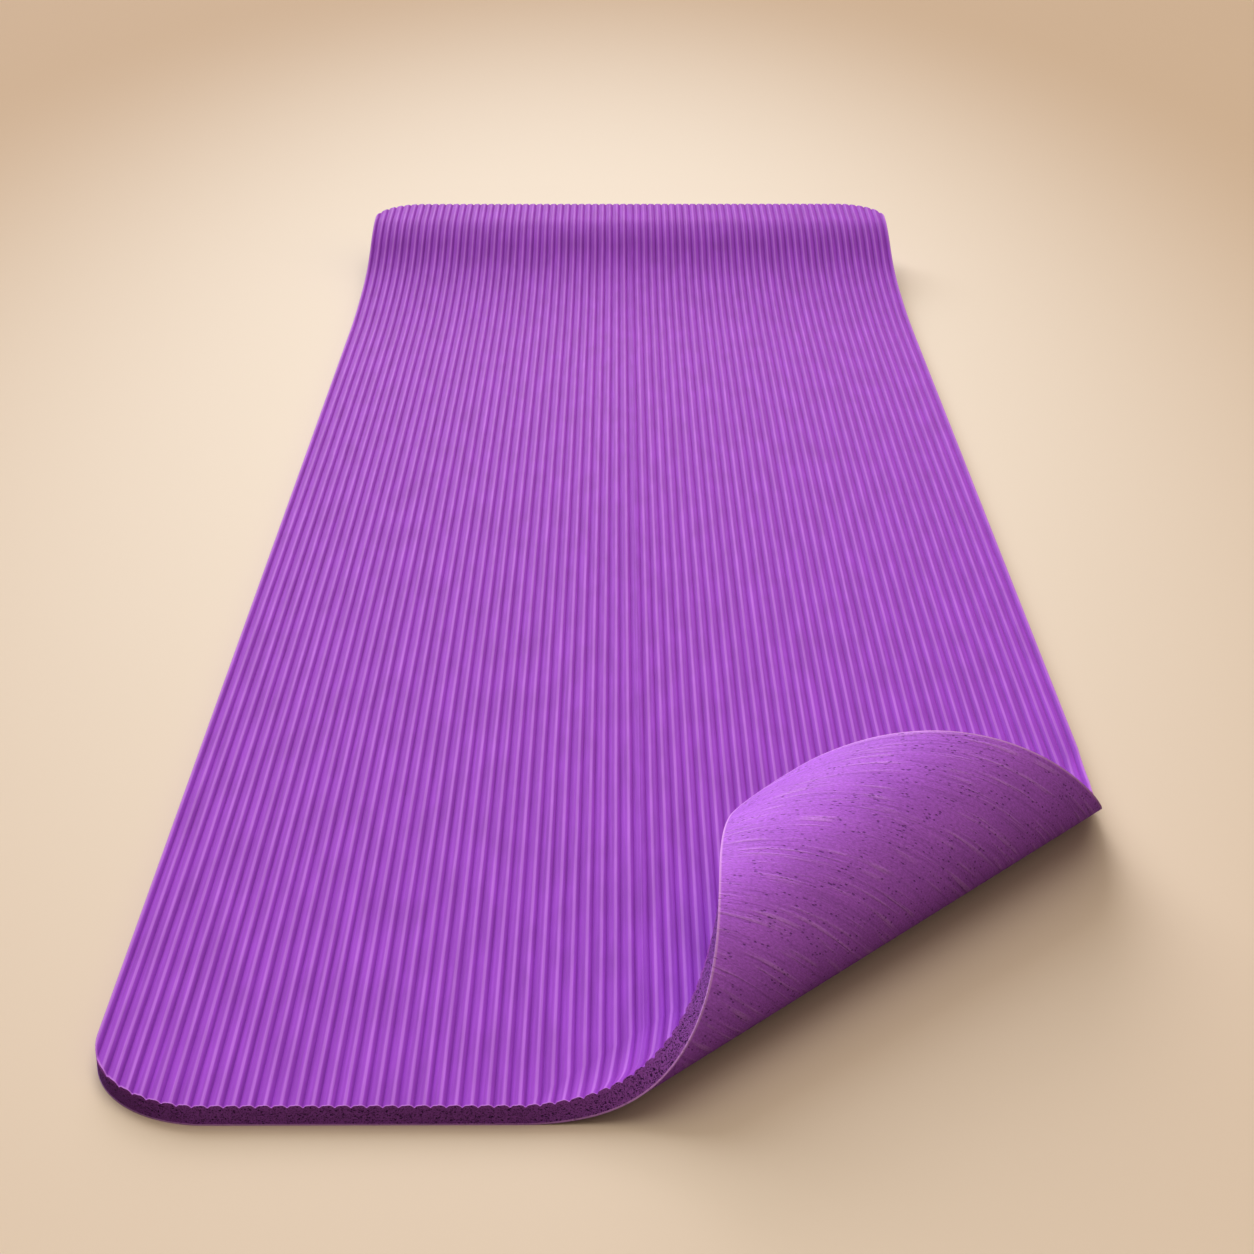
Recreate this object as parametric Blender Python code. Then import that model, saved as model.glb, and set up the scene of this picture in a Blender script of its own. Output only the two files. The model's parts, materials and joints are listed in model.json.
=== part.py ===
"""Ribbed foam exercise mat lying on the floor, with its near right corner rolled up and its far end lifted.

The mat is one sheet of three layers: a ribbed upper skin, a foam core and a smooth base skin. Each layer is
made once as a whole flat sheet, and is then cut into a panel and strips along the lines where the foam bends.
Every bend line carries an empty whose X rotation is the bend, so zero rotations lay the mat flat.
The flat sheet runs along +Y from its near edge at Y = 0, +X is to its right and its underside is at Z = 0.
"""

import math
from collections import namedtuple

import bmesh
import bpy
from mathutils import Matrix, Vector

# Sizes of the whole sheet, in metres
MAT_WIDTH = 0.610
MAT_LENGTH = 1.830
MAT_THICKNESS = 0.0127
CORNER_RADIUS = 0.055
CORNER_STEPS = 8

# Layers, from the floor up
BASE_SKIN = 0.0008
RIBBED_SKIN_WEB = 0.0008
LAYER_GAP = 0.0003

# Ribs of the upper skin, which run along the mat
RIB_PITCH = 0.0085
RIB_DEPTH = 0.0016
GROOVE_WIDTH = 0.0036
CROWN_HEIGHT = 0.0004

# Rolled corner: where its fold line meets the two edges, measured from the corner. Its bend lines fan out
# from a point on the fold line, this far before the near edge, and each bend takes its share of the fan.
ROLL_ON_FRONT_EDGE = 0.371
ROLL_ON_SIDE_EDGE = 0.424
FAN_POINT_DISTANCE = 0.800
ROLL_BEND = math.radians(18)
ROLL_BEND_SHARE = (0.135, 0.074, 0.058, 0.053, 0.055, 0.058, 0.060, 0.064, 0.071, 0.083, 0.104, 0.131)

# Lifted far end: a rise that steepens, a crest and a nearly level lip. Each bend takes its share of the
# length, the ones of the rise first.
LIFT_LENGTH = 0.398
LIFT_BEND_SHARE = (0.387, 0.136, 0.065, 0.089, 0.111, 0.060)
RISE_BENDS = 4
RISE_BEND = math.radians(5.2)
CREST_BEND = math.radians(-9.1)

# Play that each bend keeps for bending further than the sheet lies now
ROLL_SPARE = math.radians(2)
LIFT_SPARE = math.radians(2)

# Cutting tools reach this far past the sheet, and points closer than the weld distance are joined
CUTTER_OVERRUN = 0.010
WELD_DISTANCE = 0.000003

# Colours and finish of the three layers
RIBBED_SKIN_COLOUR = (0.386, 0.107, 0.558)
RIBBED_SKIN_ROUGHNESS = 0.55
FOAM_CORE_COLOUR = (0.130, 0.032, 0.200)
FOAM_CORE_ROUGHNESS = 0.90
BASE_SKIN_COLOUR = (0.347, 0.093, 0.497)
BASE_SKIN_ROUGHNESS = 0.60
SHARP_EDGE = math.radians(20)

Layer = namedtuple("Layer", "name sheet material")
Bend = namedtuple("Bend", "line angle spare")
Chain = namedtuple("Chain", "name frame bends")


def clear_scene():
    for item in list(bpy.data.objects):
        bpy.data.objects.remove(item, do_unlink=True)


def new_collection(name):
    collection = bpy.data.collections.new(name)
    bpy.context.scene.collection.children.link(collection)
    return collection


def foam_material(name, colour, roughness):
    material = bpy.data.materials.new(name)
    material.use_nodes = True
    shader = material.node_tree.nodes["Principled BSDF"]
    shader.inputs["Base Color"].default_value = (*colour, 1)
    shader.inputs["Roughness"].default_value = roughness
    shader.inputs["Metallic"].default_value = 0
    material.diffuse_color = (*colour, 1)
    return material


# Flat sheets

def sheet_outline():
    """The mat in plan: a rectangle with four round corners, anticlockwise from the near right."""
    right = MAT_WIDTH / 2 - CORNER_RADIUS
    near = CORNER_RADIUS
    far = MAT_LENGTH - CORNER_RADIUS
    centres = ((right, near), (right, far), (-right, far), (-right, near))
    points = []
    for quarter, (x, y) in enumerate(centres):
        for step in range(CORNER_STEPS + 1):
            turn = math.pi / 2 * (quarter - 1 + step / CORNER_STEPS)
            points.append((x + CORNER_RADIUS * math.cos(turn), y + CORNER_RADIUS * math.sin(turn)))
    return points


def rib_section():
    """The upper skin seen from its near end: a flat underside, and crowned crests parted by grooves."""
    half_width = MAT_WIDTH / 2
    underside = MAT_THICKNESS - RIB_DEPTH - RIBBED_SKIN_WEB
    shoulder = MAT_THICKNESS - CROWN_HEIGHT
    groove_count = round(MAT_WIDTH / RIB_PITCH)
    pitch = MAT_WIDTH / groove_count
    points = [(half_width, underside), (half_width, MAT_THICKNESS)]
    for groove in range(groove_count):
        centre = half_width - pitch * (groove + 0.5)
        points.append((centre + GROOVE_WIDTH / 2, shoulder))
        points.append((centre, MAT_THICKNESS - RIB_DEPTH))
        points.append((centre - GROOVE_WIDTH / 2, shoulder))
        points.append((centre - pitch / 2, MAT_THICKNESS))
    points.append((-half_width, underside))
    return points


def extruded_outline(name, points, thickness, placing, collection):
    """A closed flat outline given a thickness, as a mesh object at the given place."""
    curve = bpy.data.curves.new(name, "CURVE")
    curve.dimensions = "2D"
    curve.fill_mode = "BOTH"
    curve.extrude = thickness / 2
    spline = curve.splines.new("POLY")
    spline.points.add(len(points) - 1)
    for point, (x, y) in zip(spline.points, points):
        point.co = (x, y, 0, 1)
    spline.use_cyclic_u = True
    outline = bpy.data.objects.new(name, curve)
    collection.objects.link(outline)
    outline.matrix_world = placing
    bpy.context.view_layer.update()
    evaluated = outline.evaluated_get(bpy.context.evaluated_depsgraph_get())
    solid = bpy.data.objects.new(name, welded(bpy.data.meshes.new_from_object(evaluated)))
    solid.data.transform(placing)
    collection.objects.link(solid)
    bpy.data.objects.remove(outline)
    return solid


def welded(mesh):
    """The same mesh with the loose caps of a filled curve joined to its sides."""
    shape = bmesh.new()
    shape.from_mesh(mesh)
    bmesh.ops.remove_doubles(shape, verts=shape.verts, dist=WELD_DISTANCE)
    bmesh.ops.recalc_face_normals(shape, faces=shape.faces)
    shape.to_mesh(mesh)
    shape.free()
    return mesh


def plain_sheet(name, bottom, top, collection):
    placing = Matrix.Translation((0, 0, (bottom + top) / 2))
    return extruded_outline(name, sheet_outline(), top - bottom, placing, collection)


def ribbed_sheet(name, collection):
    """The rib section drawn out along the mat, with its corners trimmed to the mat's outline."""
    standing = Matrix.Translation((0, MAT_LENGTH / 2, 0)) @ Matrix.Rotation(math.pi / 2, 4, "X")
    ribbed = extruded_outline(name, rib_section(), MAT_LENGTH + CUTTER_OVERRUN, standing, collection)
    trimmer = plain_sheet("outline_trimmer", -CUTTER_OVERRUN, MAT_THICKNESS + CUTTER_OVERRUN, collection)
    trim = ribbed.modifiers.new("trim_corners", "BOOLEAN")
    trim.operation = "INTERSECT"
    trim.solver = "EXACT"
    trim.object = trimmer
    bpy.context.view_layer.update()
    evaluated = ribbed.evaluated_get(bpy.context.evaluated_depsgraph_get())
    trimmed = welded(bpy.data.meshes.new_from_object(evaluated))
    ribbed.modifiers.clear()
    ribbed.data = trimmed
    return ribbed


def make_layers(collection):
    """The three whole sheets, flat, which the panel and the strips are cut from."""
    core_bottom = BASE_SKIN + LAYER_GAP
    core_top = MAT_THICKNESS - RIB_DEPTH - RIBBED_SKIN_WEB - LAYER_GAP
    layers = (
        Layer("ribbed_skin", ribbed_sheet("whole_ribbed_skin", collection),
              foam_material("ribbed_skin", RIBBED_SKIN_COLOUR, RIBBED_SKIN_ROUGHNESS)),
        Layer("foam_core", plain_sheet("whole_foam_core", core_bottom, core_top, collection),
              foam_material("foam_core", FOAM_CORE_COLOUR, FOAM_CORE_ROUGHNESS)),
        Layer("base_skin", plain_sheet("whole_base_skin", 0, BASE_SKIN, collection),
              foam_material("base_skin", BASE_SKIN_COLOUR, BASE_SKIN_ROUGHNESS)),
    )
    for tool in collection.objects:
        tool.hide_render = True
        tool.display_type = "WIRE"
    return layers


# Bends

def roll_chain():
    """The rolled corner. Its frame's X runs along the fold line, off the near edge, and Y to the corner."""
    corner = Vector((MAT_WIDTH / 2, 0, 0))
    front = corner - Vector((ROLL_ON_FRONT_EDGE, 0, 0))
    across = Vector((ROLL_ON_SIDE_EDGE, -ROLL_ON_FRONT_EDGE, 0)).normalized()
    frame = Matrix.Translation(front) @ Matrix.Rotation(math.atan2(-across.x, across.y), 4, "Z")
    fan_point = Vector((FAN_POINT_DISTANCE, 0, 0))
    from_arc = fan_point - frame.inverted() @ (corner + Vector((-CORNER_RADIUS, CORNER_RADIUS, 0)))
    fan = math.atan2(-from_arc.y, from_arc.x) + math.asin(CORNER_RADIUS / from_arc.length)
    bends = []
    start = 0
    for share in ROLL_BEND_SHARE:
        turn = Matrix.Rotation(-fan * (start + share / 2), 4, "Z")
        line = Matrix.Translation(fan_point) @ turn @ Matrix.Translation(-fan_point)
        bends.append(Bend(line, ROLL_BEND, ROLL_SPARE))
        start += share
    return Chain("corner", frame, bends)


def lift_chain():
    """The lifted end: bends across the mat, first upwards and then back down to a nearly level lip."""
    rise = (RISE_BEND, LIFT_SPARE)
    crest = (CREST_BEND, LIFT_SPARE * abs(CREST_BEND / RISE_BEND))
    bends = []
    start = 0
    for number, share in enumerate(LIFT_BEND_SHARE):
        line = Matrix.Translation((0, LIFT_LENGTH * (start + share / 2), 0))
        bends.append(Bend(line, *(rise if number < RISE_BENDS else crest)))
        start += share
    frame = Matrix.Translation((0, MAT_LENGTH - LIFT_LENGTH, 0))
    return Chain("far", frame, bends)


def axis_height(bend):
    """A bend turns about the face that it stretches: the underside if it lifts, the top if it droops."""
    return 0 if bend.angle > 0 else MAT_THICKNESS


def bend_frame(chain, bend):
    """The bend line's own frame on the flat sheet."""
    return chain.frame @ bend.line @ Matrix.Translation((0, 0, axis_height(bend)))


def cutting_plane(chain, bend, side):
    """A mitred cut beside a bend line, as a point and an outward normal. Side 1 keeps what lies beyond it."""
    lean = math.tan((abs(bend.angle) + bend.spare) / 2)
    lean = math.copysign(lean, bend.angle)
    frame = bend_frame(chain, bend)
    point = frame @ Vector((0, side * LAYER_GAP / 2, 0))
    normal = frame.to_3x3() @ Vector((0, -side, lean))
    return point, normal


def cut_from_sheet(sheet, planes):
    """A copy of a whole sheet, kept behind every plane, with each cut closed by a face."""
    shape = bmesh.new()
    shape.from_mesh(sheet.data)
    for point, normal in planes:
        everything = shape.verts[:] + shape.edges[:] + shape.faces[:]
        cut = bmesh.ops.bisect_plane(shape, geom=everything, dist=WELD_DISTANCE, plane_co=point,
                                     plane_no=normal, clear_outer=True)
        rim = [item for item in cut["geom_cut"] if isinstance(item, bmesh.types.BMEdge)]
        bmesh.ops.edgeloop_fill(shape, edges=rim)
    bmesh.ops.recalc_face_normals(shape, faces=shape.faces)
    mesh = bpy.data.meshes.new(sheet.name)
    shape.to_mesh(mesh)
    shape.free()
    return mesh


# The mat

def add_piece(name, layer, planes, frame, parent, collection):
    """One layer of the panel or of a strip, with its origin at its bend line."""
    mesh = cut_from_sheet(layer.sheet, planes)
    mesh.name = name
    mesh.transform(frame.inverted())
    mesh.materials.clear()
    mesh.materials.append(layer.material)
    mesh.shade_smooth()
    mesh.set_sharp_from_angle(angle=SHARP_EDGE)
    piece = bpy.data.objects.new(name, mesh)
    collection.objects.link(piece)
    piece.parent = parent


def add_empty(name, parent, placing, collection):
    empty = bpy.data.objects.new(name, None)
    empty.empty_display_size = MAT_THICKNESS
    collection.objects.link(empty)
    empty.parent = parent
    empty.matrix_basis = placing
    return empty


def add_panel(layers, chains, parent, collection):
    planes = [cutting_plane(chain, chain.bends[0], -1) for chain in chains]
    for layer in layers:
        add_piece(f"panel_{layer.name}", layer, planes, Matrix.Identity(4), parent, collection)


def add_strips(layers, chain, parent, collection):
    """The strips beyond each bend line of a chain. Each is carried by its bend, and each bend by the last."""
    carrier = add_empty(f"{chain.name}_start", parent, chain.frame, collection)
    last_frame = chain.frame
    for number, bend in enumerate(chain.bends, start=1):
        frame = bend_frame(chain, bend)
        step = last_frame.inverted() @ frame
        turned = step @ Matrix.Rotation(bend.angle, 4, "X")
        carrier = add_empty(f"{chain.name}_bend_{number:02d}", carrier, turned, collection)
        planes = [cutting_plane(chain, bend, 1)]
        planes += [cutting_plane(chain, following, -1) for following in chain.bends[number:number + 1]]
        for layer in layers:
            name = f"{chain.name}_strip_{number:02d}_{layer.name}"
            add_piece(name, layer, planes, frame, carrier, collection)
        last_frame = frame


def lifted_reach(chain):
    """How far along the floor the mat reaches, to the end of its lifted lip."""
    lip = LIFT_LENGTH - chain.bends[-1].line.translation.y
    placed = chain.frame
    last_frame = chain.frame
    for bend in chain.bends:
        frame = bend_frame(chain, bend)
        placed = placed @ last_frame.inverted() @ frame @ Matrix.Rotation(bend.angle, 4, "X")
        last_frame = frame
    underside = -axis_height(chain.bends[-1])
    edges = (placed @ Vector((0, lip, height)) for height in (underside, underside + MAT_THICKNESS))
    return max(edge.y for edge in edges)


def build_mat():
    clear_scene()
    parts = new_collection("yoga_mat")
    cutters = new_collection("cutters")
    layers = make_layers(cutters)
    roll = roll_chain()
    lift = lift_chain()
    centring = Matrix.Translation((0, -lifted_reach(lift) / 2, 0))
    base = add_empty("mat_base", None, centring, parts)
    add_panel(layers, (roll, lift), base, parts)
    add_strips(layers, roll, base, parts)
    add_strips(layers, lift, base, parts)
    bpy.context.view_layer.update()


build_mat()
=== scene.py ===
# %% [markdown]
# # A ribbed foam mat with a rolled corner
# The model of the construction is loaded first, and stays fixed. Everything after it only dresses that
# model: the foam's ribs, its smooth bends, its skins and its cut edge. The model's box is kept, because the
# dressed mat has to stay inside it.

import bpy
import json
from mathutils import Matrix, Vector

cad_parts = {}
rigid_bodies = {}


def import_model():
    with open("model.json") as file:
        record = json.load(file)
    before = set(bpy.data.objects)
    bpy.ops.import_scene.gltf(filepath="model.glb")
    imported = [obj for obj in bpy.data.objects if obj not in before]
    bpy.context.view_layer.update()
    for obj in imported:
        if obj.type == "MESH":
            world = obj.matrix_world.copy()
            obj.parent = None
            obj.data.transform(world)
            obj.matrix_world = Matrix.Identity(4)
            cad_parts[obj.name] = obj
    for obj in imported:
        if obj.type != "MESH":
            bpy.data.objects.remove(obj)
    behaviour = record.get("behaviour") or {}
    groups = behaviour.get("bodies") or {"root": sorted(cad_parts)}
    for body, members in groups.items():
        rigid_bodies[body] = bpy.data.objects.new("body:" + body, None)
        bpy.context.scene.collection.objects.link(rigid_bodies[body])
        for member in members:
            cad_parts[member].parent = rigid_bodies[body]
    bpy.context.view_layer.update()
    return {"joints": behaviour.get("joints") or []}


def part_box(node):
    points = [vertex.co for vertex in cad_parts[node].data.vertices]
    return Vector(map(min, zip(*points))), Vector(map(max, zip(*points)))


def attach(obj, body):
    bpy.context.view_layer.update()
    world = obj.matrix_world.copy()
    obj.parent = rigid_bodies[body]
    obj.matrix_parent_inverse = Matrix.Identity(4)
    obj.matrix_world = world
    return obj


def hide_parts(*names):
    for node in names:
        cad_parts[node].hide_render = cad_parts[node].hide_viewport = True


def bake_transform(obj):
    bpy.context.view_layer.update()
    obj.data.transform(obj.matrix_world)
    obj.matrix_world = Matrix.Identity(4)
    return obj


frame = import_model()

# %% Modules
import json
import math
from collections import namedtuple

import bmesh
import bpy
import numpy as np
from mathutils import Matrix, Vector

# %% [markdown]
# ## The camera
# The mat's straight edges meet far up in the picture, and where they meet gives the camera's tilt and its
# lens. The camera stands about a metre before the mat at table height, with a lens of nearly 70 mm, and
# looks down at a bit over twenty degrees. It is set first, so that every later step can be compared with
# the photograph.

# %% Camera
CAMERA_PLACE = (-0.0133, -1.9776, 0.7545)
CAMERA_DOWN = math.radians(23.52)
CAMERA_TURN = math.radians(-0.19)
LENS_PIXELS = 2397
PHOTO_PIXELS = 1254
SENSOR_WIDTH = 36

camera_data = bpy.data.cameras.new("camera")
camera_data.sensor_width = SENSOR_WIDTH
camera_data.lens = LENS_PIXELS / PHOTO_PIXELS * SENSOR_WIDTH
camera = bpy.data.objects.new("camera", camera_data)
camera.location = CAMERA_PLACE
camera.rotation_euler = (math.pi / 2 - CAMERA_DOWN, 0, CAMERA_TURN)
bpy.context.scene.collection.objects.link(camera)
bpy.context.scene.camera = camera
print("lens:", round(camera_data.lens, 1), "mm")

# %% [markdown]
# ## The sheet's sizes
# The mat is one flat sheet before it is bent. Its width, its near edge and the heights of its layers are
# read from the frame, and only what the frame can't show flat is written here: the sheet's length and its
# round corners. The frame keeps a small gap between its layers, so each visible layer reaches to the middle
# of that gap.

# %% Sizes of the flat sheet, in metres
MAT_LENGTH = 1.830
CORNER_RADIUS = 0.055
NEAR_LEFT_RADIUS = 0.070
CORNER_STEPS = 20
SEAM = 0.00001
MM_PER_METRE = 1000
LITRES_PER_CUBIC_METRE = 1000

panel_low, panel_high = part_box("panel_base_skin")
core_low, core_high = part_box("panel_foam_core")
ribs_low, ribs_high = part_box("panel_ribbed_skin")
HALF_WIDTH = panel_high.x
NEAR = panel_low.y
FAR = NEAR + MAT_LENGTH
THICKNESS = ribs_high.z
LOW_SEAM = (panel_high.z + core_low.z) / 2
HIGH_SEAM = (core_high.z + ribs_low.z) / 2
print("sheet:", round(HALF_WIDTH * 2, 4), "x", MAT_LENGTH, "x", round(THICKNESS, 4))

# %% [markdown]
# ## How the sheet bends
# The construction bends the sheet at hinges. At the far end they are parallel. In the rolled corner they
# fan out from one point on the fold line, a good way before the mat, so the roll is tighter near the front,
# like a paper cone. The sheet is unrolled by undoing the hinges from the last one to the first. That tells
# where each hinge lies on the flat sheet.
#
# Real foam doesn't fold at a line: it curves. So each bend is spread over a stretch of the sheet with its
# hinge in the middle, and the next bend starts where it ends. A parallel chain is treated as a fan too,
# with its point so far away that its lines are as good as parallel.

# %% Where the bending starts on the flat sheet, and the point that the hinges fan out from
ROLL_ON_FRONT_EDGE = 0.371
ROLL_ON_SIDE_EDGE = 0.424
ROLL_FAN_DISTANCE = 0.800
LIFT_LENGTH = 0.398
PARALLEL_DISTANCE = 1000

Line = namedtuple("Line", "point way")
Bend = namedtuple("Bend", "name before after hinge angle height start end earlier")
Chain = namedtuple("Chain", "origin way across fan_point bends")


def turned(points, line, angle):
    """Points turned about a line, all by one angle or each by its own."""
    angle = np.reshape(angle, (-1, 1))
    arm = points - line.point
    along = (arm @ line.way)[:, None] * line.way
    return line.point + along + (arm - along) * np.cos(angle) + np.cross(line.way, arm) * np.sin(angle)


def fan_angle(chain, points):
    """How far round the fan a point of the flat sheet lies from the line where the bending starts."""
    arm = points - chain.fan_point
    return np.arctan2(arm @ chain.across, -arm @ chain.way)


def flat_angle(joint):
    """The turn that undoes a bend: the end of its range that lies further from rest."""
    return math.radians(max(joint["range_deg"], key=abs))


# %% Read the bends from the frame
def read_chain(name, origin, way, distance):
    origin, way = np.array((*origin, 0.0)), np.array((*way, 0.0)) / math.hypot(*way)
    across = np.cross((0, 0, 1), way)
    chain = Chain(origin, way, across, origin + way * distance, [])
    start = 0
    for joint in frame["joints"]:
        if not joint["name"].startswith(name + "_bend"):
            continue
        rest_line = Line(np.array(joint["pos_m"]), np.array(joint["axis"]) / np.linalg.norm(joint["axis"]))
        point, tip = rest_line.point, rest_line.point + rest_line.way
        for bend in reversed(chain.bends):
            point, tip = turned(np.array((point, tip)), bend.hinge, -bend.angle)
        middle = float(fan_angle(chain, point[None])[0])
        end = 2 * middle - start
        chain.bends.append(Bend(joint["name"], joint["parent"], joint["child"], rest_line,
                                -flat_angle(joint), point[2], start, end, chain.bends[:]))
        start = end
    return chain


corner = read_chain("corner", (HALF_WIDTH - ROLL_ON_FRONT_EDGE, NEAR),
                    (-ROLL_ON_FRONT_EDGE, -ROLL_ON_SIDE_EDGE), ROLL_FAN_DISTANCE)
far_end = read_chain("far", (0, FAR - LIFT_LENGTH), (1, 0), PARALLEL_DISTANCE)
for chain in (corner, far_end):
    reach = np.linalg.norm(chain.fan_point - chain.origin)
    for bend in chain.bends:
        print(bend.name, "spans", round((bend.end - bend.start) * reach * MM_PER_METRE, 1), "mm,",
              round(math.degrees(bend.angle), 2), "degrees,",
              "hinge height", round(bend.height * MM_PER_METRE, 1), "mm")

# %% [markdown]
# ## One rib, then all of them
# The ribs run along the mat. Each has a rounded ridge on the side of the mat's middle and a lower shelf
# beside it, so that it catches the light as one bright line and one faint line. One rib is a short row of
# points across the mat, drawn out along it. The rest of its half are copies in a row, which a spin with no
# angle makes, and a mirror makes the other half.

# %% Rib profile, as shares of the rib's width and of the groove's depth
RIB_COUNT = 72
RIB_DEPTH = 0.0016
RIB_WIDTH_SHARES = (0, 0.06, 0.12, 0.19, 0.27, 0.38, 0.46, 0.54, 0.62, 0.70, 0.78, 0.86, 0.93, 1)
RIB_DEPTH_SHARES = (1, 0.80, 0.50, 0.28, 0.17, 0.18, 0.11, 0.03, 0, 0.04, 0.17, 0.42, 0.76, 1)
RIB_PITCH = HALF_WIDTH * 2 / RIB_COUNT
print("rib pitch:", round(RIB_PITCH * MM_PER_METRE, 2), "mm")

# %% Ribbed sheet
def ribbed_sheet():
    """The upper skin as a closed flat sheet, a rib wider than the mat, so that its edges fall on crests."""
    shape = bmesh.new()
    left = -HALF_WIDTH - RIB_PITCH / 2
    row = [shape.verts.new((left + share * RIB_PITCH, NEAR, THICKNESS - depth * RIB_DEPTH))
           for share, depth in zip(RIB_WIDTH_SHARES, RIB_DEPTH_SHARES)]
    edges = [shape.edges.new(pair) for pair in zip(row, row[1:])]
    drawn = bmesh.ops.extrude_edge_only(shape, edges=edges)["geom"]
    bmesh.ops.translate(shape, verts=[item for item in drawn if isinstance(item, bmesh.types.BMVert)],
                        vec=(0, MAT_LENGTH, 0))
    bmesh.ops.spin(shape, geom=shape.verts[:] + shape.edges[:] + shape.faces[:], axis=(0, 0, 1), angle=0,
                   dvec=(RIB_PITCH, 0, 0), steps=RIB_COUNT // 2, use_duplicate=True)
    bmesh.ops.remove_doubles(shape, verts=shape.verts, dist=SEAM)
    bmesh.ops.bisect_plane(shape, geom=shape.verts[:] + shape.edges[:] + shape.faces[:], dist=SEAM,
                           plane_co=(0, 0, 0), plane_no=(1, 0, 0), clear_outer=True)
    bmesh.ops.mirror(shape, geom=shape.verts[:] + shape.edges[:] + shape.faces[:],
                     matrix=Matrix.Identity(4), merge_dist=SEAM, axis="X")
    rim = [edge for edge in shape.edges if edge.is_boundary]
    walls = bmesh.ops.extrude_edge_only(shape, edges=rim)["geom"]
    for item in walls:
        if isinstance(item, bmesh.types.BMVert):
            item.co.z = HIGH_SEAM + SEAM
    bmesh.ops.holes_fill(shape, edges=[edge for edge in shape.edges if edge.is_boundary])
    bmesh.ops.recalc_face_normals(shape, faces=shape.faces)
    return shape


def plain_sheet(bottom, top):
    """A smooth layer as a closed flat sheet."""
    shape = bmesh.new()
    bmesh.ops.create_cube(shape, size=1)
    bmesh.ops.scale(shape, verts=shape.verts, vec=(HALF_WIDTH * 2 + RIB_PITCH, MAT_LENGTH, top - bottom))
    bmesh.ops.translate(shape, verts=shape.verts, vec=(0, (NEAR + FAR) / 2, (bottom + top) / 2))
    return shape


# %% [markdown]
# ## Cutting the outline
# A mat is cut from a wider sheet with a knife, and so is this one. Planes cut the four sides and then round
# off each corner, a few degrees at a time. The near left corner is cut rounder than the others. The core is
# cut a hair smaller than the skins, as foam springs back from the knife, and the skins stand over it as two
# thin lips.

# %% Knife cuts
CORE_INSET = 0.0001
CUT_TOLERANCE = SEAM / 100
FAR_RIGHT, FAR_LEFT, NEAR_LEFT, NEAR_RIGHT = range(4)


def knife(shape, point, normal, keep_outside=False):
    """One plane cut. What lies beyond the plane goes, and the cut is closed with a face."""
    cut = bmesh.ops.bisect_plane(shape, geom=shape.verts[:] + shape.edges[:] + shape.faces[:],
                                 dist=CUT_TOLERANCE, plane_co=point, plane_no=normal,
                                 clear_outer=not keep_outside)
    if not keep_outside:
        cut_edges = [item for item in cut["geom_cut"] if isinstance(item, bmesh.types.BMEdge)]
        bmesh.ops.holes_fill(shape, edges=[edge for edge in cut_edges if edge.is_boundary])


def cut_outline(shape, inset):
    """Four straight cuts and four round corners, each corner a quarter turn after the one before."""
    right, near, far = HALF_WIDTH - inset, NEAR + inset, FAR - inset
    for point, normal in (((right, 0, 0), (1, 0, 0)), ((-right, 0, 0), (-1, 0, 0)),
                          ((0, near, 0), (0, -1, 0)), ((0, far, 0), (0, 1, 0))):
        knife(shape, point, normal)
    for quarter, x, y in ((FAR_RIGHT, right, far), (FAR_LEFT, -right, far),
                          (NEAR_LEFT, -right, near), (NEAR_RIGHT, right, near)):
        radius = NEAR_LEFT_RADIUS if quarter == NEAR_LEFT else CORNER_RADIUS
        centre = Vector((x - math.copysign(radius, x), y - radius if y == far else y + radius, 0))
        for step in range(CORNER_STEPS):
            turn = math.pi / 2 * (quarter + (step + 0.5) / CORNER_STEPS)
            outward = Vector((math.cos(turn), math.sin(turn), 0))
            knife(shape, centre + outward * radius, outward)


Layer = namedtuple("Layer", "name sheet")
layers = [Layer("ribbed_skin", ribbed_sheet()),
          Layer("foam_core", plain_sheet(LOW_SEAM + SEAM, HIGH_SEAM - SEAM)),
          Layer("base_skin", plain_sheet(0, LOW_SEAM - SEAM))]
for layer in layers:
    cut_outline(layer.sheet, CORE_INSET if layer.name == "foam_core" else 0)
    print(layer.name, "faces:", len(layer.sheet.faces), "volume in litres:",
          round(layer.sheet.calc_volume() * LITRES_PER_CUBIC_METRE, 3))

# %% [markdown]
# ## Cutting the sheet into pieces
# The frame moves the mat as a chain of stiff bodies, so the visible sheet is cut halfway between the
# hinges, where nothing bends. Each piece spans one bend, and rows of extra cuts across it let it curve. The
# flat sheet's own coordinates are stored on every point before it is bent: the finishes read them, so grain
# and pores follow the foam round its curves.

# %% Pieces of the flat sheet
BEND_STEPS = 9


def cut_at(piece, chain, angle, keep):
    """Cuts a piece along one line of a chain's fan. keep says which side stays: before, beyond or both."""
    z_line = Line(chain.fan_point, np.array((0, 0, 1.0)))
    point = turned(chain.origin[None], z_line, -angle)[0]
    normal = turned(chain.across[None], Line(np.zeros(3), z_line.way), -angle)[0]
    knife(piece, point, -normal if keep == "beyond" else normal, keep_outside=keep == "both")


def copy_between(sheet, chain, start, end):
    """A copy of a flat sheet between two lines of a fan. None leaves that side whole."""
    piece = sheet.copy()
    cut_at(piece, chain, start, "beyond")
    if end is not None:
        cut_at(piece, chain, end, "before")
    return piece


def crease(piece, chain, bend):
    """Extra rows of points across a piece, evenly along its bend."""
    for step in range(1, BEND_STEPS + 1):
        cut_at(piece, chain, bend.start + (bend.end - bend.start) * step / (BEND_STEPS + 1), "both")


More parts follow.
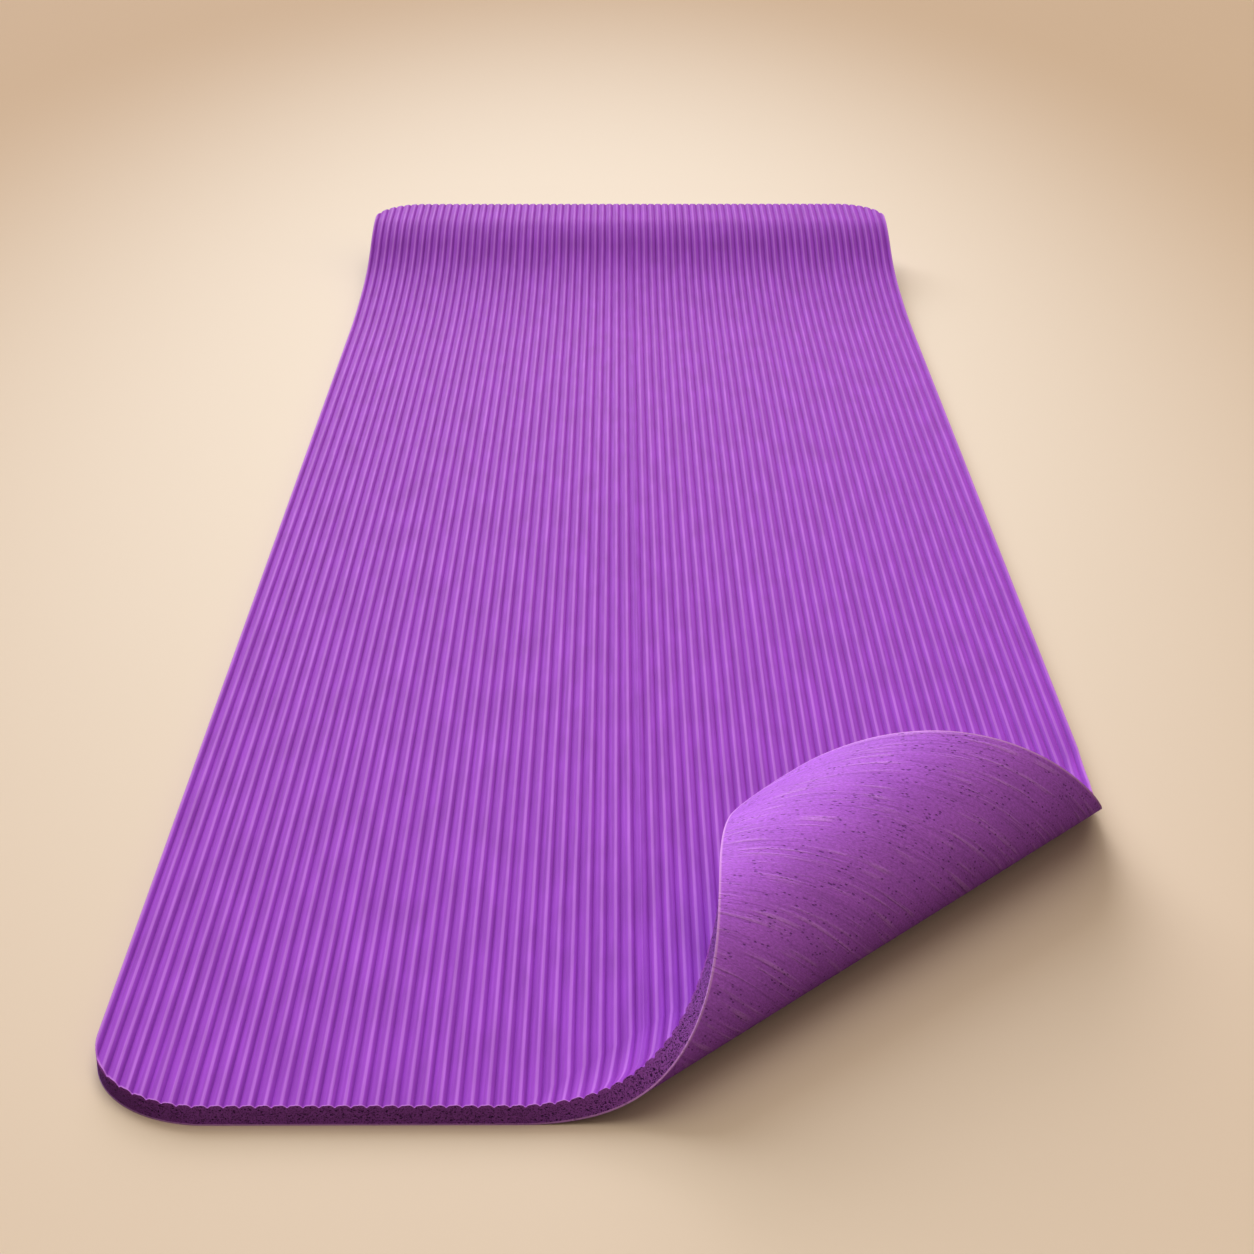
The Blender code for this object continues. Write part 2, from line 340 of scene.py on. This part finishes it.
# %% [markdown]
# ## Bending a piece
# A bend is a slice of a cone. Each point is first turned back in the flat sheet to the line where its bend
# starts, and is then turned about the cone's own axis, which passes through the point of the fan. The axis
# is at right angles to the sheet's direction both before and after the bend. Last come the bends between it
# and the panel.
#
# Shading needs the same care: the flat sheet's normals are exact, also at the cuts between pieces, so they
# are turned with the points and kept. Without that, a faint line would show where two pieces meet.

# %% Bend points and normals
SHARP_EDGE = math.radians(35)


def bent(chain, bend, points, directions=None):
    """Where flat points go. With directions, how those directions at the points are turned."""
    shape = points if directions is None else directions
    centre = chain.fan_point + (0, 0, bend.height) if directions is None else np.zeros(3)
    up = Line(centre, np.array((0, 0, 1.0)))
    level = Line(np.zeros(3), up.way)
    fan = bend.end - bend.start
    hinge_way = turned(chain.way[None], level, -bend.start - fan / 2)[0]
    first = turned(chain.across[None], level, -bend.start)
    last = turned(turned(chain.across[None], level, -bend.end), Line(np.zeros(3), hinge_way), bend.angle)
    cone_way = np.cross(first, last)[0]
    cone_turn = math.atan2(np.linalg.norm(cone_way), float(first[0] @ last[0]))
    share = np.clip((fan_angle(chain, points) - bend.start) / fan, 0, 1)
    shape = turned(shape, up, fan * share)
    shape = turned(shape, Line(centre, cone_way / np.linalg.norm(cone_way)), cone_turn * share)
    for bend_before in bend.earlier:
        hinge = bend_before.hinge if directions is None else Line(np.zeros(3), bend_before.hinge.way)
        shape = turned(shape, hinge, bend_before.angle)
    return shape


def mesh_points(mesh):
    points = np.empty(len(mesh.vertices) * 3)
    mesh.vertices.foreach_get("co", points)
    return points.reshape(-1, 3)


def bend_mesh(mesh, chain, bend):
    flat = mesh_points(mesh)
    normals = np.array([corner_normal.vector for corner_normal in mesh.corner_normals])
    corner_points = np.empty(len(mesh.loops), dtype=int)
    mesh.loops.foreach_get("vertex_index", corner_points)
    normals = bent(chain, bend, flat[corner_points], normals)
    mesh.vertices.foreach_set("co", bent(chain, bend, flat).ravel())
    mesh.update()
    mesh.normals_split_custom_set(normals.tolist())


# %% [markdown]
# ## Finishes
# All three finishes read the flat sheet's coordinates. A few small helpers keep their node trees short to
# read. In the values of the finishes, a scale counts how often a pattern repeats in a metre across, along
# and through the sheet. A span says where a blend starts and where it ends, and a reach says it as metres
# from the mat's edge. A light is what the colour is multiplied by.

# %% Helpers for node trees
def new_finish(name, roughness, specular):
    material = bpy.data.materials.new(name)
    material.use_nodes = True
    tree = material.node_tree
    shader = tree.nodes["Principled BSDF"]
    shader.inputs["Roughness"].default_value = roughness
    shader.inputs["Specular IOR Level"].default_value = specular
    return material, tree, shader


def plug(tree, socket, value):
    """Sets a socket to a number or colour, or links it to another socket."""
    if isinstance(value, bpy.types.NodeSocket):
        tree.links.new(value, socket)
    else:
        socket.default_value = value


def sums(tree, operation, first, second=0.0, third=0.0):
    """One step of arithmetic on numbers or sockets."""
    node = tree.nodes.new("ShaderNodeMath")
    node.operation = operation
    for socket, value in zip(node.inputs, (first, second, third)):
        plug(tree, socket, value)
    return node.outputs[0]


def stretched(tree, vector, scale):
    """Coordinates scaled along each way of the sheet, which draws a pattern out along it."""
    node = tree.nodes.new("ShaderNodeMapping")
    plug(tree, node.inputs["Vector"], vector)
    node.inputs["Scale"].default_value = scale
    return node.outputs[0]


def noise(tree, vector, scale, detail=2.0, roughness=0.5):
    node = tree.nodes.new("ShaderNodeTexNoise")
    plug(tree, node.inputs["Vector"], stretched(tree, vector, scale))
    node.inputs["Scale"].default_value = 1
    node.inputs["Detail"].default_value = detail
    node.inputs["Roughness"].default_value = roughness
    return node.outputs["Fac"]


def cells(tree, vector, scale):
    """Distance to the nearest of many scattered points: 0 in the middle of each cell."""
    node = tree.nodes.new("ShaderNodeTexVoronoi")
    plug(tree, node.inputs["Vector"], stretched(tree, vector, scale))
    node.inputs["Scale"].default_value = 1
    return node.outputs["Distance"]


def ramp(tree, value, low, high, to_low=0.0, to_high=1.0):
    """Value spread smoothly from one range to another, and held at its ends."""
    node = tree.nodes.new("ShaderNodeMapRange")
    node.interpolation_type = "SMOOTHSTEP"
    for name, number in (("Value", value), ("From Min", low), ("From Max", high),
                         ("To Min", to_low), ("To Max", to_high)):
        plug(tree, node.inputs[name], number)
    return node.outputs["Result"]


def blend_colours(tree, share, first, second):
    node = tree.nodes.new("ShaderNodeMix")
    node.data_type = "RGBA"
    plug(tree, node.inputs["Factor"], share)
    plug(tree, node.inputs["A"], first)
    plug(tree, node.inputs["B"], second)
    return node.outputs["Result"]


def bump(tree, height, depth, below=None):
    """Relief of a given depth in metres, on top of another relief."""
    node = tree.nodes.new("ShaderNodeBump")
    node.inputs["Distance"].default_value = depth
    plug(tree, node.inputs["Height"], height)
    if below is not None:
        plug(tree, node.inputs["Normal"], below)
    return node.outputs["Normal"]


# %% Flat coordinates and the distance from the mat's edge
def flat_coordinates(tree):
    node = tree.nodes.new("ShaderNodeAttribute")
    node.attribute_name = "flat"
    parts = tree.nodes.new("ShaderNodeSeparateXYZ")
    plug(tree, parts.inputs[0], node.outputs["Vector"])
    return node.outputs["Vector"], parts.outputs


def edge_distance(tree, parts):
    """How far inside the mat's outline a point lies, from the straight sides and round corners."""
    near_left = sums(tree, "MULTIPLY", sums(tree, "LESS_THAN", parts["X"], 0.0),
                     sums(tree, "LESS_THAN", parts["Y"], 0.0))
    radius = sums(tree, "MULTIPLY_ADD", near_left, NEAR_LEFT_RADIUS - CORNER_RADIUS, CORNER_RADIUS)
    past_side = sums(tree, "SUBTRACT", sums(tree, "ABSOLUTE", parts["X"]), HALF_WIDTH)
    past_x = sums(tree, "ADD", past_side, radius)
    from_middle = sums(tree, "ABSOLUTE", sums(tree, "SUBTRACT", parts["Y"], (NEAR + FAR) / 2))
    past_y = sums(tree, "ADD", sums(tree, "SUBTRACT", from_middle, MAT_LENGTH / 2), radius)
    out_x = sums(tree, "MAXIMUM", past_x, 0.0)
    out_y = sums(tree, "MAXIMUM", past_y, 0.0)
    out = sums(tree, "SQRT", sums(tree, "ADD", sums(tree, "MULTIPLY", out_x, out_x),
                                  sums(tree, "MULTIPLY", out_y, out_y)))
    inside = sums(tree, "MINIMUM", sums(tree, "MAXIMUM", past_x, past_y), 0.0)
    return sums(tree, "SUBTRACT", radius, sums(tree, "ADD", out, inside))


# %% [markdown]
# ### The foam core
# A knife opens the foam's bubbles, so the cut edge is a field of small dark pits with torn rims between
# them. Two sizes of cell, drawn out along the sheet and wobbled by noise, give pits that don't look
# stamped. The skins' own cut edges are the same foam, so the pattern is a helper, which the ribbed
# skin uses too.

# %% Finish of the foam core
CUT_COLOUR = (0.46, 0.125, 0.66, 1)
PIT_COLOUR = (0.055, 0.009, 0.095, 1)
CUT_ROUGHNESS = 0.85
CUT_GLOSS = 0.1
TEAR_SCALE = (900, 900, 900)
TEAR_SHIFT = (0.0016, 0.0016, 0.0016)
LARGE_PIT_SCALE = (420, 420, 620)
LARGE_PIT_SPAN = (0.14, 0.34)
SMALL_PIT_SCALE = (1300, 1300, 1600)
SMALL_PIT_SPAN = (0.12, 0.5)
PIT_DEPTH = 0.0005


def cut_foam(tree, vector):
    """Colour of the cut foam, and where it is solid: 1 on the rims between pits."""
    wobble = tree.nodes.new("ShaderNodeTexNoise")
    plug(tree, wobble.inputs["Vector"], stretched(tree, vector, TEAR_SCALE))
    wobble.inputs["Scale"].default_value = 1
    shift = tree.nodes.new("ShaderNodeVectorMath")
    shift.operation = "MULTIPLY_ADD"
    plug(tree, shift.inputs[0], wobble.outputs["Color"])
    plug(tree, shift.inputs[1], TEAR_SHIFT)
    plug(tree, shift.inputs[2], vector)
    torn = shift.outputs[0]
    large = ramp(tree, cells(tree, torn, LARGE_PIT_SCALE), *LARGE_PIT_SPAN)
    small = ramp(tree, cells(tree, torn, SMALL_PIT_SCALE), *SMALL_PIT_SPAN)
    solid = sums(tree, "MULTIPLY", large, small)
    return blend_colours(tree, solid, PIT_COLOUR, CUT_COLOUR), solid


def core_finish():
    material, tree, shader = new_finish("foam_core_cut", CUT_ROUGHNESS, CUT_GLOSS)
    vector = flat_coordinates(tree)[0]
    colour, solid = cut_foam(tree, vector)
    plug(tree, shader.inputs["Base Color"], colour)
    plug(tree, shader.inputs["Normal"], bump(tree, solid, PIT_DEPTH))
    return material


# %% [markdown]
# ### The ribbed skin
# The skin is a matt lilac. Its grooves are painted darker than their depth alone makes them, as painted
# shade, and its ridges are painted lighter, as a painted highlight. It varies a little from rib to rib and
# along each rib, and where the knife went through, a thin painted highlight runs along the skin's edge over
# the cut foam.

# %% Finish of the ribbed skin
# Painted highlight: the ridge colour lightens the top of each rib.
RIDGE_HIGHLIGHT_COLOUR = (0.485, 0.151, 0.745, 1)
CREST_COLOUR = (0.332, 0.060, 0.60, 1)
# Painted shade: the groove colour darkens the grooves.
GROOVE_SHADE_COLOUR = (0.23, 0.038, 0.44, 1)
# Painted highlight: the lip colour lights a thin line along the skin's edge.
LIP_HIGHLIGHT_COLOUR = (0.60, 0.23, 0.78, 1)
SHEEN_COLOUR = (1.0, 0.20, 1.0, 1)
GLOSS_COLOUR = (1.0, 0.20, 1.0, 1)
SKIN_ROUGHNESS = 0.58
SKIN_GLOSS = 0.04
SHEEN_SHARE = 0.6
SHEEN_ROUGHNESS = 0.4
# Depths where the painted highlight on the ridges and the painted shade in the grooves start and end.
RIDGE_HIGHLIGHT_SPAN = (0.0, 0.13)
GROOVE_SHADE_SPAN = (0.2, 1.0)
NOISE_SPAN = (0.3, 0.7)
STREAK_SCALE = (520, 11, 0)
STREAK_DETAIL = 3
STREAK_LIGHT = (0.9, 1.1)
PATCH_SCALE = (60, 18, 0)
PATCH_LIGHT = (0.94, 1.06)
LIP_HIGHLIGHT_REACH = (0.0003, 0.0013)
LIP_HIGHLIGHT_SHARE = 0.9
CUT_FACE_REACH = (0.00006, 0.00014)
GRAIN_SCALE = (1700, 260, 1700)
GRAIN_DETAIL = 4
GRAIN_DEPTH = 0.00012
PORE_SCALE = (700, 420, 700)
PORE_SPAN = (0.0, 0.3)
PORE_DEPTH = 0.00008


def shaded(tree, colour, light):
    """A colour made lighter or darker by a factor."""
    node = tree.nodes.new("ShaderNodeVectorMath")
    node.operation = "SCALE"
    plug(tree, node.inputs[0], colour)
    plug(tree, node.inputs["Scale"], light)
    return node.outputs[0]


def ribbed_finish():
    material, tree, shader = new_finish("ribbed_skin_foam", SKIN_ROUGHNESS, SKIN_GLOSS)
    shader.inputs["Sheen Weight"].default_value = SHEEN_SHARE
    shader.inputs["Sheen Roughness"].default_value = SHEEN_ROUGHNESS
    shader.inputs["Sheen Tint"].default_value = SHEEN_COLOUR
    shader.inputs["Specular Tint"].default_value = GLOSS_COLOUR
    vector, parts = flat_coordinates(tree)
    depth = sums(tree, "DIVIDE", sums(tree, "SUBTRACT", THICKNESS, parts["Z"]), RIB_DEPTH)
    # Painted highlight on the ridges and painted shade in the grooves, both set by the depth below the top.
    ridge_highlight = ramp(tree, depth, *RIDGE_HIGHLIGHT_SPAN, to_low=1, to_high=0)
    groove_shade = ramp(tree, depth, *GROOVE_SHADE_SPAN)
    streaks = ramp(tree, noise(tree, vector, STREAK_SCALE, STREAK_DETAIL), *NOISE_SPAN, *STREAK_LIGHT)
    patches = ramp(tree, noise(tree, vector, PATCH_SCALE), *NOISE_SPAN, *PATCH_LIGHT)
    colour = blend_colours(tree, ridge_highlight, CREST_COLOUR, RIDGE_HIGHLIGHT_COLOUR)
    colour = blend_colours(tree, groove_shade, colour, GROOVE_SHADE_COLOUR)
    colour = shaded(tree, colour, sums(tree, "MULTIPLY", streaks, patches))
    edge = edge_distance(tree, parts)
    # A thin painted highlight along the skin's edge, fading within about a millimetre of it.
    lip_highlight = ramp(tree, edge, *LIP_HIGHLIGHT_REACH, to_low=LIP_HIGHLIGHT_SHARE, to_high=0)
    colour = blend_colours(tree, lip_highlight, colour, LIP_HIGHLIGHT_COLOUR)
    cut_colour = cut_foam(tree, vector)[0]
    cut_face = ramp(tree, edge, *CUT_FACE_REACH, to_low=1, to_high=0)
    colour = blend_colours(tree, cut_face, colour, cut_colour)
    plug(tree, shader.inputs["Base Color"], colour)
    grain = bump(tree, noise(tree, vector, GRAIN_SCALE, GRAIN_DETAIL), GRAIN_DEPTH)
    pores = bump(tree, ramp(tree, cells(tree, vector, PORE_SCALE), *PORE_SPAN), PORE_DEPTH, grain)
    plug(tree, shader.inputs["Normal"], pores)
    return material


# %% [markdown]
# ### The base skin
# The underside has the fine raised lines of the roller that pressed it, which fade in and out along the
# mat, a fine grain, and rows of pinholes where bubbles broke through. A thin painted highlight runs along
# its edge.

# %% Finish of the base skin
BASE_COLOUR = (0.55, 0.156, 0.87, 1)
BASE_LINE_COLOUR = (0.74, 0.33, 0.95, 1)
# Painted highlight: the rim colour lights a thin line along the base skin's edge.
RIM_HIGHLIGHT_COLOUR = (0.82, 0.38, 0.98, 1)
PINHOLE_COLOUR = (0.16, 0.035, 0.28, 1)
BASE_ROUGHNESS = 0.6
BASE_GLOSS = 0.05
LINE_SCALE = (330, 12, 0)
LINE_DETAIL = 2
LINE_SPAN = (0.5, 0.66)
LINE_SHARE = 0.5
LINE_DEPTH = 0.0003
FADING_SCALE = (70, 26, 0)
FADING_SPAN = (0.38, 0.6)
FURROW_SCALE = (380, 16, 0)
FURROW_DETAIL = 1
FURROW_SPAN = (0.28, 0.5)
FURROW_LIGHT = (0.88, 1.0)
FURROW_DEPTH = 0.0009
SPECKLE_SCALE = (800, 420, 800)
SPECKLE_DETAIL = 4
SPECKLE_ROUGHNESS = 0.65
SPECKLE_SPAN = (0.32, 0.68)
SPECKLE_LIGHT = (0.84, 1.14)
SPECKLE_DEPTH = 0.0003
BASE_PATCH_SCALE = (40, 24, 0)
BASE_PATCH_LIGHT = (0.95, 1.04)
PINHOLE_SCALE = (420, 230, 420)
PINHOLE_SPAN = (0.12, 0.30)
PINHOLE_GROUP_SCALE = (110, 40, 0)
PINHOLE_GROUP_SPAN = (0.42, 0.56)
PINHOLE_SHARE = 0.75
PINHOLE_DEPTH = 0.0004
RIM_HIGHLIGHT_REACH = (0.0004, 0.0018)


def base_finish():
    material, tree, shader = new_finish("base_skin_foam", BASE_ROUGHNESS, BASE_GLOSS)
    shader.inputs["Specular Tint"].default_value = GLOSS_COLOUR
    vector, parts = flat_coordinates(tree)
    lines = ramp(tree, noise(tree, vector, LINE_SCALE, LINE_DETAIL), *LINE_SPAN)
    fading = ramp(tree, noise(tree, vector, FADING_SCALE), *FADING_SPAN)
    line = sums(tree, "MULTIPLY", lines, fading)
    furrows = ramp(tree, noise(tree, vector, FURROW_SCALE, FURROW_DETAIL), *FURROW_SPAN, *FURROW_LIGHT)
    grain = noise(tree, vector, SPECKLE_SCALE, SPECKLE_DETAIL, SPECKLE_ROUGHNESS)
    speckle = ramp(tree, grain, *SPECKLE_SPAN, *SPECKLE_LIGHT)
    patches = ramp(tree, noise(tree, vector, BASE_PATCH_SCALE), *NOISE_SPAN, *BASE_PATCH_LIGHT)
    colour = blend_colours(tree, sums(tree, "MULTIPLY", line, LINE_SHARE), BASE_COLOUR, BASE_LINE_COLOUR)
    light = sums(tree, "MULTIPLY", sums(tree, "MULTIPLY", furrows, speckle), patches)
    colour = shaded(tree, colour, light)
    groups = ramp(tree, noise(tree, vector, PINHOLE_GROUP_SCALE), *PINHOLE_GROUP_SPAN)
    holes = ramp(tree, cells(tree, vector, PINHOLE_SCALE), *PINHOLE_SPAN, to_low=1, to_high=0)
    holes = sums(tree, "MULTIPLY", holes, groups)
    colour = blend_colours(tree, sums(tree, "MULTIPLY", holes, PINHOLE_SHARE), colour, PINHOLE_COLOUR)
    # A thin painted highlight along the base skin's edge.
    rim = ramp(tree, edge_distance(tree, parts), *RIM_HIGHLIGHT_REACH, to_low=1, to_high=0)
    colour = blend_colours(tree, rim, colour, RIM_HIGHLIGHT_COLOUR)
    plug(tree, shader.inputs["Base Color"], colour)
    relief = bump(tree, line, LINE_DEPTH)
    relief = bump(tree, furrows, FURROW_DEPTH, relief)
    relief = bump(tree, grain, SPECKLE_DEPTH, relief)
    relief = bump(tree, sums(tree, "SUBTRACT", 1.0, holes), PINHOLE_DEPTH, relief)
    plug(tree, shader.inputs["Normal"], relief)
    return material


finishes = {"ribbed_skin": ribbed_finish(), "foam_core": core_finish(), "base_skin": base_finish()}
print("finishes:", ", ".join(finishes))

# %% [markdown]
# ## Finished pieces
# Every piece is named after the frame's own solid of the same layer and strip, and that solid is hidden.
# The panel's pieces lie still on the panel. A piece that spans a bend is bent to its rest shape, and its
# cuts on both sides lie where the bend starts and where it ends.

# %% Make a finished piece
TOUCH = 0.000001
LEAST_TURN_SHARE = 0.2


def finished_piece(name, shape, layer_name):
    """The object of one piece, with its flat coordinates stored and its finish on."""
    mesh = bpy.data.meshes.new(name)
    bmesh.ops.recalc_face_normals(shape, faces=shape.faces)
    shape.to_mesh(mesh)
    shape.free()
    flat = mesh.attributes.new("flat", "FLOAT_VECTOR", "POINT")
    flat.data.foreach_set("vector", mesh_points(mesh).ravel())
    mesh.materials.append(finishes[layer_name])
    mesh.shade_smooth()
    mesh.set_sharp_from_angle(angle=SHARP_EDGE)
    piece = bpy.data.objects.new(name, mesh)
    bpy.context.scene.collection.objects.link(piece)
    return piece


def span_bend(piece, chain, bend):
    """Bends a piece to its rest shape between its cut faces, which stay rigid, and stops with an error if
    the bend has no room.
    """
    flat = mesh_points(piece.data)
    fan = fan_angle(chain, flat)
    z_line = Line(chain.fan_point, np.array((0, 0, 1.0)))
    ends = turned(np.array((chain.origin, chain.origin)), z_line, (-bend.start, -bend.end))
    first, last = bent(chain, bend, ends + (0, 0, bend.height))
    chord = (last - first) / np.linalg.norm(last - first)
    bend_mesh(piece.data, chain, bend)
    along = (mesh_points(piece.data) - first) @ chord
    slack = TOUCH / np.linalg.norm(chain.origin - chain.fan_point)
    low, high = along[fan <= bend.start + slack].max(), along[fan >= bend.end - slack].min()
    if high - low < THICKNESS * LEAST_TURN_SHARE:
        raise ValueError(f"{piece.name}: no room for its bend")
    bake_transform(piece)


# %% Panel
def add_panel(layer):
    shape = layer.sheet.copy()
    for chain in (corner, far_end):
        cut_at(shape, chain, 0, "before")
    piece = finished_piece(f"panel_{layer.name}_foam", shape, layer.name)
    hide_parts(f"panel_{layer.name}")
    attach(piece, "panel")
    return piece


for layer in layers:
    panel = add_panel(layer)
    print(panel.name, "faces:", len(panel.data.polygons))

# %% Strips over the bends
def add_strips(layer, chain):
    for bend in chain.bends:
        last = bend is chain.bends[-1]
        shape = copy_between(layer.sheet, chain, bend.start, None if last else bend.end)
        crease(shape, chain, bend)
        node = f"{bend.after}_{layer.name}"
        piece = finished_piece(f"{node}_foam", shape, layer.name)
        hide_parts(node)
        span_bend(piece, chain, bend)


for layer in layers:
    for chain in (corner, far_end):
        add_strips(layer, chain)
for layer in layers:
    layer.sheet.free()

# %% [markdown]
# ## Floor
# The mat lies on a warm beige floor of studio paper. Its colour is painted with a pool of light: brightest
# round the mat and darker towards the corners, changing from the middle of a long oval to its edge. A lamp
# with a spot edge could do that, but it would light the mat unevenly as well. The light that bounces off
# the floor onto the mat comes from a darker colour than the one seen, because a floor this pale would fill
# the roll's shaded side with light.

# %% Floor
FLOOR_SIZE = 30
# Painted pool of light: the floor is lighter in the oval's middle and darker at its edge.
FLOOR_LIGHT_POOL_COLOUR = (1.0, 0.89, 0.73, 1)
FLOOR_DIM_EDGE_COLOUR = (0.65, 0.475, 0.305, 1)
FLOOR_BOUNCE_COLOUR = (0.20, 0.15, 0.14, 1)
FLOOR_ROUGHNESS = 0.9
FLOOR_GLOSS = 0.1
LIGHT_POOL_CENTRE = (-0.07, 0.58, 0)
LIGHT_POOL_SCALE = (1, 0.39, 1)
LIGHT_POOL_SPAN = (0.16, 1.10)


def floor_finish():
    material, tree, shader = new_finish("floor_paper", FLOOR_ROUGHNESS, FLOOR_GLOSS)
    place = tree.nodes.new("ShaderNodeTexCoord")
    reach = tree.nodes.new("ShaderNodeVectorMath")
    reach.operation = "LENGTH"
    centred = tree.nodes.new("ShaderNodeVectorMath")
    centred.operation = "SUBTRACT"
    plug(tree, centred.inputs[0], place.outputs["Object"])
    plug(tree, centred.inputs[1], LIGHT_POOL_CENTRE)
    plug(tree, reach.inputs[0], stretched(tree, centred.outputs[0], LIGHT_POOL_SCALE))
    # Painted pool of light: from the oval's middle colour to its darker edge colour.
    share = ramp(tree, reach.outputs["Value"], *LIGHT_POOL_SPAN)
    seen = blend_colours(tree, share, FLOOR_LIGHT_POOL_COLOUR, FLOOR_DIM_EDGE_COLOUR)
    ray = tree.nodes.new("ShaderNodeLightPath")
    colour = blend_colours(tree, ray.outputs["Is Camera Ray"], FLOOR_BOUNCE_COLOUR, seen)
    plug(tree, shader.inputs["Base Color"], colour)
    return material


def add_floor():
    shape = bmesh.new()
    bmesh.ops.create_grid(shape, x_segments=1, y_segments=1, size=FLOOR_SIZE / 2)
    mesh = bpy.data.meshes.new("floor")
    shape.to_mesh(mesh)
    shape.free()
    mesh.materials.append(floor_finish())
    floor = bpy.data.objects.new("floor", mesh)
    bpy.context.scene.collection.objects.link(floor)


add_floor()
print("floor:", FLOOR_SIZE, "m wide, pale up to", LIGHT_POOL_SPAN[0], "m beside the oval's middle")

# %% [markdown]
# ## Light
# Each lamp is a sun with a wide angle, which is even over the whole mat and soft like a studio diffuser. A
# very wide one hangs overhead. The strongest stands behind the mat, a little to the left: it lights the top
# of the roll and throws the roll's shadow towards the front right. A low one grazes the ribs from the far
# end, which the rise there turns away from. A weak, warm one from the front right keeps the roll's side and
# the cut edge readable, and a very weak warm sky fills the rest. Where the camera sees past the floor, as
# in a view from the side, the sky shows the floor's own pale colour instead, and gives no more light for
# it.

# %% Lamps and sky
Lamp = namedtuple("Lamp", "name way angle strength colour")
LAMPS = (Lamp("top", (0.0, 0.12, 1.0), 60, 1.16, (1.0, 0.92, 0.83)),
         Lamp("key", (-0.5, 1.1, 0.88), 46, 1.86, (0.98, 1.0, 1.09)),
         Lamp("graze", (-0.1, 1.0, 0.3), 26, 0.90, (1.0, 0.94, 1.08)),
         Lamp("side", (0.5, -0.5, 0.6), 60, 0.52, (1.0, 0.86, 0.68)))
SKY_COLOUR = (0.030, 0.018, 0.009, 1)
BACKDROP_COLOUR = (0.58, 0.40, 0.25, 1)


def add_lamp(lamp):
    data = bpy.data.lights.new(lamp.name, "SUN")
    data.energy = lamp.strength
    data.angle = math.radians(lamp.angle)
    data.color = lamp.colour
    sun = bpy.data.objects.new(lamp.name, data)
    sun.rotation_euler = Vector(lamp.way).to_track_quat("Z", "Y").to_euler()
    bpy.context.scene.collection.objects.link(sun)


for lamp in LAMPS:
    add_lamp(lamp)
    level_light = lamp.strength * Vector(lamp.way).normalized().z / math.pi
    print(lamp.name, "lamp: lights a white level sheet to about", round(level_light, 2))
sky = bpy.data.worlds.new("sky")
sky.use_nodes = True
sky_ray = sky.node_tree.nodes.new("ShaderNodeLightPath")
sky_colour = blend_colours(sky.node_tree, sky_ray.outputs["Is Camera Ray"], SKY_COLOUR, BACKDROP_COLOUR)
plug(sky.node_tree, sky.node_tree.nodes["Background"].inputs["Color"], sky_colour)
bpy.context.scene.world = sky
bpy.context.scene.view_settings.view_transform = "Standard"
